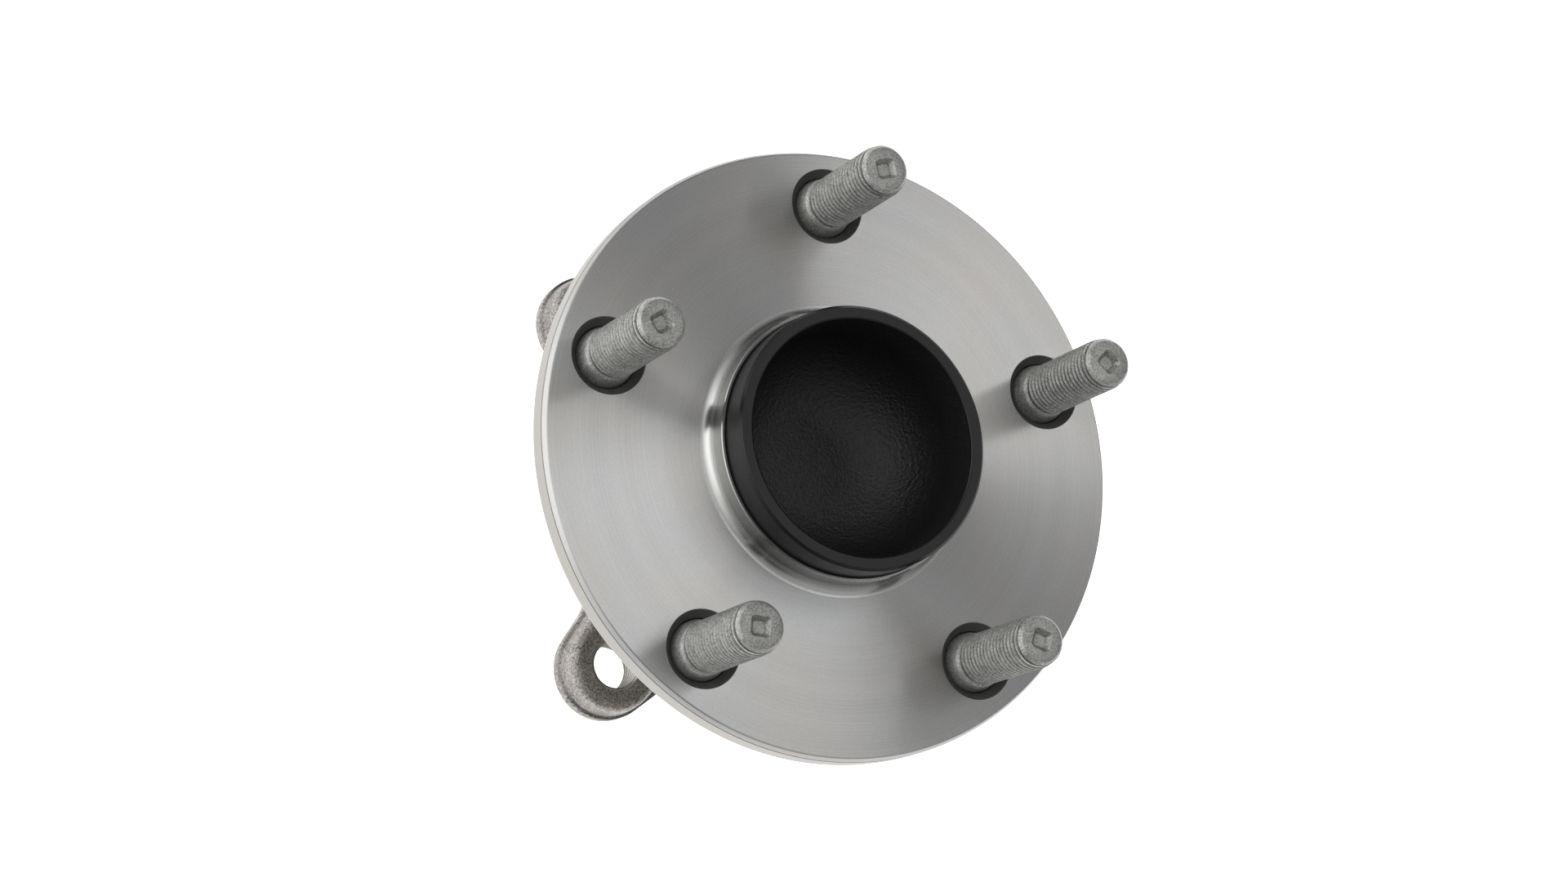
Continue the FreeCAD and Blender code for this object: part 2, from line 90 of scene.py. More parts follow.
class HubSizes(bpy.types.PropertyGroup):
    """Sizes of the hub forging."""

    flange_thickness: bpy.props.FloatProperty(
        name="Flange Thickness", description="Thickness of the wheel flange at its rim",
        default=8.5 * MM, unit="LENGTH")
    wheel_pilot_diameter: bpy.props.FloatProperty(
        name="Wheel Pilot", description="Diameter of the collar that centres the wheel",
        default=60 * MM, unit="LENGTH")
    brake_pilot_diameter: bpy.props.FloatProperty(
        name="Brake Pilot", description="Diameter of the step that centres the brake disc",
        default=62 * MM, unit="LENGTH")
    brake_pilot_height: bpy.props.FloatProperty(
        name="Brake Pilot Height", description="Height of the step above the flange face",
        default=6.8 * MM, unit="LENGTH")
    bowl_diameter: bpy.props.FloatProperty(
        name="Bowl", description="Inside diameter of the wheel pilot",
        default=53.6 * MM, unit="LENGTH")
    bowl_depth: bpy.props.FloatProperty(
        name="Bowl Depth", description="Depth of the bowl's floor below the flange face",
        default=16 * MM, unit="LENGTH")


class StudSizes(bpy.types.PropertyGroup):
    """Sizes of the wheel studs."""

    bolt_circle: bpy.props.FloatProperty(
        name="Bolt Circle", description="Diameter of the circle through the studs' axes",
        default=114.3 * MM, unit="LENGTH")
    first_angle: bpy.props.FloatProperty(
        name="First Stud", description="Angle of the first stud about the axle",
        default=math.radians(87.8), subtype="ANGLE")
    pitch: bpy.props.FloatProperty(
        name="Thread Pitch", description="Distance between two crests of the thread",
        default=1.5 * MM, unit="LENGTH")
    thread_depth: bpy.props.FloatProperty(
        name="Thread Depth", description="Depth of the rolled thread",
        default=0.88 * MM, unit="LENGTH")


class EarSizes(bpy.types.PropertyGroup):
    """Sizes of the threaded ears of the outer ring."""

    spacing_x: bpy.props.FloatProperty(
        name="Bolt Spacing X", description="Distance between the knuckle bolts along X",
        default=72 * MM, unit="LENGTH")
    spacing_y: bpy.props.FloatProperty(
        name="Bolt Spacing Y", description="Distance between the knuckle bolts along Y",
        default=82 * MM, unit="LENGTH")
    thread_diameter: bpy.props.FloatProperty(
        name="Thread Diameter", description="Diameter at the bottom of the tapped thread",
        default=12 * MM, unit="LENGTH")
    pitch: bpy.props.FloatProperty(
        name="Thread Pitch", description="Distance between two crests of the tapped thread",
        default=1.25 * MM, unit="LENGTH")


class Finishes(bpy.types.PropertyGroup):
    """Colours of the finishes, as sRGB hex values."""

    turned_steel: bpy.props.StringProperty(
        name="Turned Steel", description="Colour of the bare face-turned steel", default="#c8c8c6")
    dark_coat: bpy.props.StringProperty(
        name="Dark Coat", description="Colour of the baked coat in the bowl", default="#151516")
    zinc_flake: bpy.props.StringProperty(
        name="Zinc Flake", description="Colour of the studs' coating", default="#a6a7a3")
    blasted_forging: bpy.props.StringProperty(
        name="Blasted Forging", description="Colour of the shot-blasted outer ring", default="#8a8682")


class StudioSettings(bpy.types.PropertyGroup):
    """The camera and the studio."""

    focal_length: bpy.props.FloatProperty(
        name="Focal Length", description="Focal length of the camera in millimetres", default=74.3)
    distance: bpy.props.FloatProperty(
        name="Distance", description="Distance from the camera to the point it looks at",
        default=719.7 * MM, unit="LENGTH")
    elevation: bpy.props.FloatProperty(
        name="Elevation", description="Angle of the camera above the flange face",
        default=math.radians(61.605), subtype="ANGLE")
    azimuth: bpy.props.FloatProperty(
        name="Azimuth", description="Angle of the camera about the axle",
        default=math.radians(-154.282), subtype="ANGLE")
    roll: bpy.props.FloatProperty(
        name="Roll", description="Turn of the camera about its own axis",
        default=math.radians(63.207), subtype="ANGLE")
    aim: bpy.props.FloatVectorProperty(
        name="Aim", description="Point on the flange face that the camera looks at",
        default=(-12.67 * MM, 1.85 * MM, 0.0), subtype="TRANSLATION")
    floor_colour: bpy.props.StringProperty(
        name="Floor", description="Colour of the studio floor", default="#f4f4f3")


# Materials


def linear(hex_colour, factor=1.0):
    """Turns an sRGB hex value, made lighter or darker by a factor, to linear colour and alpha."""
    channels = []
    for start in (1, 3, 5):
        value = min(255, round(int(hex_colour[start:start + 2], 16) * factor)) / 255
        channels.append(value / 12.92 if value <= 0.04045 else ((value + 0.055) / 1.055) ** 2.4)
    return (*channels, 1.0)


def add(tree, kind, inputs=None, output=None, **settings):
    """Adds a node with its settings, and with its sockets set to values or linked to outputs.

    Gives back the named output or, without a name, the first one in use."""
    node = tree.nodes.new(kind)
    for name, value in settings.items():
        setattr(node, name, value)
    for socket, value in (inputs or {}).items():
        if isinstance(value, bpy.types.NodeSocket):
            tree.links.new(value, node.inputs[socket])
        else:
            node.inputs[socket].default_value = value
    if output:
        return node.outputs[output]
    return next((socket for socket in node.outputs if socket.enabled), None)


def new_material(name):
    """The empty node tree of a new material."""
    material = bpy.data.materials.new(name)
    material.use_nodes = True
    material.node_tree.nodes.clear()
    return material.node_tree


def close_material(tree, surface):
    """Ends a material's tree with its surface shader and its output."""
    shader = add(tree, "ShaderNodeBsdfPrincipled", surface)
    add(tree, "ShaderNodeOutputMaterial", {"Surface": shader})


def grain(place, size_mm, detail=3.0, roughness=0.55):
    """Noise settings for grains of a real size."""
    return {"Vector": place, "Scale": 1 / size_mm / MM, "Detail": detail, "Roughness": roughness}


def rings(radius, spacing_mm, detail):
    """Noise settings for rings round the axle, a real distance apart."""
    return {"W": radius, "Scale": 1 / spacing_mm / MM, "Detail": detail}


def place_and_radius(tree):
    """The point that is shaded, and its distance from the axle, in metres."""
    place = add(tree, "ShaderNodeTexCoord", output="Object")
    flat = add(tree, "ShaderNodeVectorMath", {0: place, 1: (1, 1, 0)}, operation="MULTIPLY")
    return place, add(tree, "ShaderNodeVectorMath", {0: flat}, operation="LENGTH")


def face_turned_steel():
    """Bare steel faced on a lathe: its fine rings draw each light out into a wedge across the face."""
    tree = new_material("face_turned_steel")
    colour = bpy.context.scene.hub_finishes.turned_steel
    place, radius = place_and_radius(tree)
    # The tool's feed, 0.15 mm on the real face, is drawn 0.25 mm apart so that it shows.
    feed = add(tree, "ShaderNodeTexNoise", rings(radius, 0.25, 1.0), noise_dimensions="1D")
    band = add(tree, "ShaderNodeTexNoise", rings(radius, 4.0, 2.0), noise_dimensions="1D")
    speck = add(tree, "ShaderNodeTexNoise", grain(place, 0.3, detail=1.0))
    stain = add(tree, "ShaderNodeTexNoise", grain(place, 28.0))
    both = add(tree, "ShaderNodeMath", {0: feed, 1: speck}, operation="ADD")
    streak = add(tree, "ShaderNodeMath", {0: both, 1: 0.42}, operation="MULTIPLY")
    tone = add(tree, "ShaderNodeMath", {0: band, 1: 0.15, 2: streak}, operation="MULTIPLY_ADD")
    base = add(tree, "ShaderNodeMix",
               {"Factor": tone, "A": linear(colour, 0.87), "B": linear(colour, 1.11)},
               data_type="RGBA")
    cast = add(tree, "ShaderNodeMix",
               {"Factor": stain, "A": linear("#fdf5f0"), "B": linear("#f2f9fe")}, data_type="RGBA")
    skin = add(tree, "ShaderNodeMix", {"Factor": 1.0, "A": base, "B": cast},
               data_type="RGBA", blend_type="MULTIPLY")
    close_material(tree, {
        "Base Color": skin,
        "Metallic": 1.0,
        "Roughness": add(tree, "ShaderNodeMapRange",
                         {"Value": feed, "To Min": 0.30, "To Max": 0.34}),
        "Normal": add(tree, "ShaderNodeBump",
                      {"Height": feed, "Strength": 0.3, "Distance": 0.003 * MM}),
        "Tangent": add(tree, "ShaderNodeTangent", direction_type="RADIAL", axis="Z"),
        "Anisotropic": 1.0,
        "Anisotropic Rotation": 0.25,
    })


def fine_turned_steel(name="fine_turned_steel", tone=1.0):
    """Bare steel of the pilot's foot, turned with a finer feed: it mirrors the studs in soft streaks."""
    tree = new_material(name)
    _, radius = place_and_radius(tree)
    # The feed, 0.05 mm on the real foot, is drawn 0.25 mm apart so that it shows.
    feed = add(tree, "ShaderNodeTexNoise", rings(radius, 0.25, 1.0), noise_dimensions="1D")
    close_material(tree, {
        "Base Color": linear(bpy.context.scene.hub_finishes.turned_steel, tone),
        "Metallic": 1.0,
        "Roughness": 0.24,
        "Normal": add(tree, "ShaderNodeBump",
                      {"Height": feed, "Strength": 0.1, "Distance": 0.002 * MM}),
        "Tangent": add(tree, "ShaderNodeTangent", direction_type="RADIAL", axis="Z"),
        "Anisotropic": 0.95,
        "Anisotropic Rotation": 0.25,
    })


def oversprayed_steel():
    """The same steel on the brake pilot's step and wall beside the dark coat, with its colour made
    darker: a duller mirror.
    """
    fine_turned_steel("oversprayed_steel", 0.86)


def baked_dark_coat():
    """Thin dark corrosion coat, dipped and baked: smooth, near black, with a soft sheen."""
    tree = new_material("baked_dark_coat")
    colour = bpy.context.scene.hub_finishes.dark_coat
    place = add(tree, "ShaderNodeTexCoord", output="Object")
    cloud = add(tree, "ShaderNodeTexNoise", grain(place, 9.0))
    speck = add(tree, "ShaderNodeTexNoise", grain(place, 0.35, detail=2.0))
    skin = add(tree, "ShaderNodeMix",
               {"Factor": cloud, "A": linear(colour, 0.85), "B": linear(colour, 1.2)},
               data_type="RGBA")
    close_material(tree, {
        "Base Color": skin,
        "Roughness": add(tree, "ShaderNodeMapRange",
                         {"Value": cloud, "To Min": 0.26, "To Max": 0.34}),
        "Normal": add(tree, "ShaderNodeBump",
                      {"Height": speck, "Strength": 0.25, "Distance": 0.01 * MM}),
        "IOR": 1.5,
        "Specular IOR Level": 0.32,
    })


def coated_countersink():
    """The dark coat over rough drilled steel: matt and rubbed, so it looks greyer than on the pilot."""
    tree = new_material("coated_countersink")
    place = add(tree, "ShaderNodeTexCoord", output="Object")
    cloud = add(tree, "ShaderNodeTexNoise", grain(place, 3.0))
    skin = add(tree, "ShaderNodeMix",
               {"Factor": cloud, "A": linear("#424242"), "B": linear("#565655")}, data_type="RGBA")
    close_material(tree, {"Base Color": skin, "Roughness": 0.6, "IOR": 1.5})


def coated_forging():
    """The dark coat over the bowl's bare forging: the scale under it leaves a leather-like skin."""
    tree = new_material("coated_forging")
    colour = bpy.context.scene.hub_finishes.dark_coat
    place = add(tree, "ShaderNodeTexCoord", output="Object")
    lumps = add(tree, "ShaderNodeTexNoise", grain(place, 0.8, roughness=0.65))
    swell = add(tree, "ShaderNodeTexNoise", grain(place, 6.0, detail=1.0))
    skin = add(tree, "ShaderNodeMix",
               {"Factor": swell, "A": linear(colour, 1.25), "B": linear(colour, 1.5)},
               data_type="RGBA")
    lumpy = add(tree, "ShaderNodeBump", {"Height": lumps, "Strength": 1.0, "Distance": 0.35 * MM})
    uneven = add(tree, "ShaderNodeBump",
                 {"Height": swell, "Strength": 0.4, "Distance": 0.2 * MM, "Normal": lumpy})
    close_material(tree, {
        "Base Color": skin,
        "Roughness": add(tree, "ShaderNodeMapRange",
                         {"Value": lumps, "To Min": 0.32, "To Max": 0.42}),
        "Normal": uneven,
        "IOR": 1.5,
    })


def zinc_flake_coat():
    """Zinc-flake coating, dipped and spun: matt grey metal in crumbs, with shade painted dark into the
    thread's roots and other hollows.
    """
    tree = new_material("zinc_flake_coat")
    colour = bpy.context.scene.hub_finishes.zinc_flake
    place = add(tree, "ShaderNodeTexCoord", output="Object")
    # The crumbs, some 0.1 mm wide on the real coat, are drawn 0.45 mm wide so that they show.
    crumbs = add(tree, "ShaderNodeTexNoise", grain(place, 0.45, detail=4.0, roughness=0.65))
    patches = add(tree, "ShaderNodeTexNoise", grain(place, 2.6))
    flecks = add(tree, "ShaderNodeMath", {0: crumbs, 1: 2.8, 2: -1.15}, operation="MULTIPLY_ADD")
    both = add(tree, "ShaderNodeMath", {0: patches, 1: flecks}, operation="ADD")
    tone = add(tree, "ShaderNodeMath", {0: both, 1: 0.6}, operation="MULTIPLY")
    skin = add(tree, "ShaderNodeMix",
               {"Factor": tone, "A": linear(colour, 0.60), "B": linear(colour, 1.30)},
               data_type="RGBA")
    # Painted shade: ambient occlusion darkens the thread's roots and hollows toward #2b2c2a.
    openness = add(tree, "ShaderNodeAmbientOcclusion", {"Distance": 0.9 * MM}, "AO",
                 samples=8, only_local=True)
    unshaded_share = add(tree, "ShaderNodeMapRange", {"Value": openness, "To Min": -1.9, "To Max": 1.4})
    skin_with_painted_shade = add(tree, "ShaderNodeMix",
                 {"Factor": unshaded_share, "A": linear("#2b2c2a"), "B": skin}, data_type="RGBA")
    close_material(tree, {
        "Base Color": skin_with_painted_shade,
        "Metallic": 0.65,
        "Roughness": add(tree, "ShaderNodeMapRange",
                         {"Value": crumbs, "To Min": 0.36, "To Max": 0.52}),
        "Normal": add(tree, "ShaderNodeBump",
                      {"Height": crumbs, "Strength": 0.8, "Distance": 0.09 * MM}),
    })


def shot_blasted_forging():
    """Forged steel cleaned by shot: warm grey, matt, dimpled about half a millimetre across."""
    tree = new_material("shot_blasted_forging")
    colour = bpy.context.scene.hub_finishes.blasted_forging
    place = add(tree, "ShaderNodeTexCoord", output="Object")
    dimples = add(tree, "ShaderNodeTexNoise", grain(place, 0.5, roughness=0.7))
    scale = add(tree, "ShaderNodeTexNoise", grain(place, 5.0, detail=4.0))
    pits = add(tree, "ShaderNodeTexVoronoi", {"Vector": place, "Scale": 1 / 0.8 / MM}, "Distance")
    flecks = add(tree, "ShaderNodeMath", {0: dimples, 1: 3.8, 2: -1.65}, operation="MULTIPLY_ADD")
    both = add(tree, "ShaderNodeMath", {0: flecks, 1: scale}, operation="ADD")
    tone = add(tree, "ShaderNodeMath", {0: both, 1: 0.6}, operation="MULTIPLY")
    skin = add(tree, "ShaderNodeMix",
               {"Factor": tone, "A": linear(colour, 0.55), "B": linear(colour, 1.45)},
               data_type="RGBA")
    rough = add(tree, "ShaderNodeBump", {"Height": dimples, "Strength": 0.9, "Distance": 0.2 * MM})
    pitted = add(tree, "ShaderNodeBump",
                 {"Height": pits, "Strength": 0.35, "Distance": 0.08 * MM, "Normal": rough})
    close_material(tree, {
        "Base Color": skin,
        "Metallic": 0.85,
        "Roughness": add(tree, "ShaderNodeMapRange",
                         {"Value": scale, "To Min": 0.32, "To Max": 0.50}),
        "Normal": pitted,
    })


def tapped_steel():
    """Cut thread in the forging: bright crests, and shade painted dark into the roots."""
    tree = new_material("tapped_steel")
    # Painted shade: ambient occlusion darkens the thread's roots toward #1d1c1a.
    openness = add(tree, "ShaderNodeAmbientOcclusion", {"Distance": 1.0 * MM}, "AO",
                 samples=8, only_local=True)
    unshaded_share = add(tree, "ShaderNodeMapRange",
                    {"Value": openness, "From Min": 0.62, "From Max": 0.9})
    skin = add(tree, "ShaderNodeMix",
               {"Factor": unshaded_share, "A": linear("#1d1c1a"), "B": linear("#c9c6c0")},
               data_type="RGBA")
    close_material(tree, {"Base Color": skin, "Metallic": 1.0, "Roughness": 0.3})


def plain_metal(name, colour, roughness, grain_mm, bump):
    """Bare or plated steel with a fine grain."""
    tree = new_material(name)
    place = add(tree, "ShaderNodeTexCoord", output="Object")
    speck = add(tree, "ShaderNodeTexNoise", grain(place, grain_mm))
    skin = add(tree, "ShaderNodeMix",
               {"Factor": speck, "A": linear(colour, 0.93), "B": linear(colour, 1.06)},
               data_type="RGBA")
    haze = add(tree, "ShaderNodeMapRange",
               {"Value": speck, "To Min": roughness * 0.9, "To Max": roughness * 1.15})
    close_material(tree, {
        "Base Color": skin,
        "Metallic": 1.0,
        "Roughness": haze,
        "Normal": add(tree, "ShaderNodeBump",
                      {"Height": speck, "Strength": bump, "Distance": 0.01 * MM}),
    })


def ground_bearing_steel():
    """Through-hardened steel, ground and honed: bright, with a faint haze."""
    plain_metal("ground_bearing_steel", "#c6c6c6", roughness=0.16, grain_mm=0.4, bump=0.1)


def lapped_ball_steel():
    """Lapped balls: a clean mirror."""
    plain_metal("lapped_ball_steel", "#cfcfd1", roughness=0.05, grain_mm=0.6, bump=0.0)


def machined_ring_steel():
    """Turned steel of the outer ring: duller than the flange face, with a tight grain."""
    plain_metal("machined_ring_steel", "#b4b3b0", roughness=0.30, grain_mm=0.3, bump=0.3)


def turned_rim_steel():
    """Turned edge of the flange: duller and warmer than its face, and painted darker as shade, for the
    shadowed floor that its wall would mirror.
    """
    plain_metal("turned_rim_steel", "#a29f9b", roughness=0.42, grain_mm=0.5, bump=0.3)


def pressed_stainless():
    """Pressed stainless sheet: bright with a satin haze."""
    plain_metal("pressed_stainless", "#bdbcba", roughness=0.24, grain_mm=0.5, bump=0.2)


def zinc_plated_sheet():
    """Drawn steel sheet, zinc plated and passivated: silvery, slightly cool."""
    plain_metal("zinc_plated_sheet", "#b5b8ba", roughness=0.28, grain_mm=1.2, bump=0.25)


def phosphated_sheet():
    """Pressed steel sheet with a phosphate coat: dark grey and dull."""
    plain_metal("phosphated_sheet", "#4b4b4c", roughness=0.55, grain_mm=0.4, bump=0.3)


def moulded(name, colour, roughness, grain_mm, bump):
    """Moulded rubber or plastic with the fine texture of its die."""
    tree = new_material(name)
    place = add(tree, "ShaderNodeTexCoord", output="Object")
    speck = add(tree, "ShaderNodeTexNoise", grain(place, grain_mm))
    skin = add(tree, "ShaderNodeMix",
               {"Factor": speck, "A": linear(colour, 0.85), "B": linear(colour, 1.15)},
               data_type="RGBA")
    haze = add(tree, "ShaderNodeMapRange",
               {"Value": speck, "To Min": roughness * 0.9, "To Max": roughness * 1.1})
    close_material(tree, {
        "Base Color": skin,
        "Roughness": haze,
        "Normal": add(tree, "ShaderNodeBump",
                      {"Height": speck, "Strength": bump, "Distance": 0.02 * MM}),
        "IOR": 1.5,
    })


def moulded_nitrile():
    """Nitrile rubber of the seals: black, matt."""
    moulded("moulded_nitrile", "#1f1f20", roughness=0.6, grain_mm=0.3, bump=0.4)


def magnetised_nitrile():
    """Nitrile filled with ferrite: brownish black, matt."""
    moulded("magnetised_nitrile", "#2a2625", roughness=0.65, grain_mm=0.25, bump=0.4)


def glass_filled_nylon():
    """Nylon with glass fibre, moulded: black with a light haze."""
    moulded("glass_filled_nylon", "#2a2a2b", roughness=0.48, grain_mm=0.35, bump=0.3)


FINISHES = (face_turned_steel, fine_turned_steel, oversprayed_steel, turned_rim_steel, tapped_steel,
            machined_ring_steel, ground_bearing_steel, lapped_ball_steel, baked_dark_coat,
            coated_countersink, coated_forging, zinc_flake_coat, shot_blasted_forging,
            pressed_stainless, zinc_plated_sheet, phosphated_sheet, moulded_nitrile,
            magnetised_nitrile, glass_filled_nylon)


# Mesh tools


def arc(centre_r, centre_z, radius, start, end, steps):
    """Points on an arc of a turned profile. Angles are in degrees from +R towards +Z."""
    points = []
    for step in range(steps + 1):
        angle = math.radians(start + (end - start) * step / steps)
        points.append((centre_r + radius * math.cos(angle), centre_z + radius * math.sin(angle)))
    return points


def in_mm(points):
    """Points of a profile that are given in millimetres."""
    return [(radius * MM, height * MM) for radius, height in points]


def ring_row(radius, height, steps):
    """One ring of points round the axle, or one point where the radius is nothing."""
    if radius < SPECK:
        return [(0, 0, height)]
    row = []
    for step in range(steps):
        angle = FULL_TURN * step / steps
        row.append((radius * math.cos(angle), radius * math.sin(angle), height))
    return row


def rows_mesh(name, rows, closed=False, finishes=None, around=None):
    """A mesh from rows of points. A row of one point closes the mesh there.

    With a count around, a row may have one point more, where a helix meets itself one pitch higher."""
    form = bmesh.new()
    made = [[form.verts.new(point) for point in row] for row in rows]
    pairs = list(zip(made, made[1:]))
    if closed:
        pairs.append((made[-1], made[0]))
    for index, (low, high) in enumerate(pairs):
        for step in range(around or max(len(low), len(high))):
            corners = [low[step % len(low)], low[(step + 1) % len(low)],
                       high[(step + 1) % len(high)], high[step % len(high)]]
            distinct = list(dict.fromkeys(corners))
            if len(distinct) > 2:
                face = form.faces.new(distinct)
                face.material_index = finishes[index] if finishes else 0
    bmesh.ops.remove_doubles(form, verts=form.verts, dist=WELD)
    bmesh.ops.dissolve_degenerate(form, edges=form.edges, dist=SPECK)
    bmesh.ops.recalc_face_normals(form, faces=form.faces)
    mesh = bpy.data.meshes.new(name)
    form.to_mesh(mesh)
    form.free()
    return mesh


def turned_mesh(name, stations, steps):
    """A turned mesh from stations of radius, height and finish. A finish holds to the next station."""
    rows = [ring_row(radius, height, steps) for radius, height, _ in stations]
    return rows_mesh(name, rows, finishes=[finish for _, _, finish in stations])


def mesh_object(name, mesh, finishes, body, replaced=()):
    """Puts a mesh in the scene with its finishes, its body and the nodes it stands for."""
    for finish in finishes:
        mesh.materials.append(bpy.data.materials[finish])
    piece = bpy.data.objects.new(name, mesh)
    bpy.context.scene.collection.objects.link(piece)
    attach(piece, body)
    if replaced:
        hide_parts(*replaced)
    return piece


def dress_node(name, finish):
    """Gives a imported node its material."""
    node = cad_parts[name]
    material = bpy.data.materials[finish]
    if not node.material_slots:
        node.data.materials.append(material)
    for place in node.material_slots:
        place.material = material


def soften(mesh, sharp_angle):
    """Smooth shading that keeps the edges sharper than an angle in degrees."""
    for face in mesh.polygons:
        face.use_smooth = True
    mesh.set_sharp_from_angle(angle=math.radians(sharp_angle))


def hole_cutter(name, stations, x, y, finishes):
    """A turned solid to cut a hole with, at a place on the flange or the ears."""
    bottom, top = stations[0][1], stations[-1][1]
    mesh = turned_mesh(name, [(0, bottom, 0), *stations, (0, top, 0)], HOLE_STEPS)
    mesh.transform(LIFT @ Matrix.Translation((x, y, 0)))
    for finish in finishes:
        mesh.materials.append(bpy.data.materials[finish])
    cutter = bpy.data.objects.new(name, mesh)
    bpy.context.scene.collection.objects.link(cutter)
    return cutter


def cut(piece, cutters):
    """Cuts the cutters out of a piece, and removes them."""
    for cutter in cutters:
        modifier = piece.modifiers.new("cut", "BOOLEAN")
        modifier.operation = "DIFFERENCE"
        modifier.solver = "EXACT"
        modifier.material_mode = "TRANSFER"
        modifier.object = cutter
    shape = bpy.data.meshes.new_from_object(piece.evaluated_get(bpy.context.evaluated_depsgraph_get()))
    piece.modifiers.clear()
    old = piece.data
    shape.name = old.name
    piece.data = shape
    bpy.data.meshes.remove(old)
    for cutter in cutters:
        bpy.data.objects.remove(cutter)


def stud_place(number):
    """Where a stud's axis meets the flange face."""
    sizes = bpy.context.scene.hub_studs
    angle = sizes.first_angle + number * FULL_TURN / STUDS
    return sizes.bolt_circle / 2 * math.cos(angle), sizes.bolt_circle / 2 * math.sin(angle)


def thread_form(phase, crest=0.18, root=0.26, rounding=0.35):
    """Height of a thread's form, 0 at its root and 1 at its crest, at a phase of one pitch.

    Crest and root are the shares of half a pitch that lie flat, and rounding softens their edges."""
    rise = abs(2 * (phase % 1.0) - 1)
    slope = min(1.0, max(0.0, (rise - root) / (1 - root - crest)))
    return slope * slope * (3 - 2 * slope) * rounding + slope * (1 - rounding)


def helix_rows(low, high, pitch, radius_at, per_pitch=12):
    """Rows that climb round a helix between two heights, with a radius from the phase and height.

    Each row ends over its start, one pitch higher, where it meets a later row."""
    count = math.ceil((high - low) / pitch + 1) * per_pitch
    rows = []
    for index in range(count + 1):
        row = []
        for step in range(THREAD_STEPS + 1):
            share = step / THREAD_STEPS
            climb = index / per_pitch + (share - 1)
            height = min(high, max(low, low + pitch * climb))
            radius = radius_at(height / pitch - share, height)
            angle = FULL_TURN * step / THREAD_STEPS
            row.append((radius * math.cos(angle), radius * math.sin(angle), height))
        rows.append(row)
    return rows


# Operators


class HUBBEARING_OT_finishes(bpy.types.Operator):
    """Makes the materials"""

    bl_idname = "hub_bearing.finishes"
    bl_label = "Finishes"

    def execute(self, context):
        for make in FINISHES:
            make()
        return {"FINISHED"}


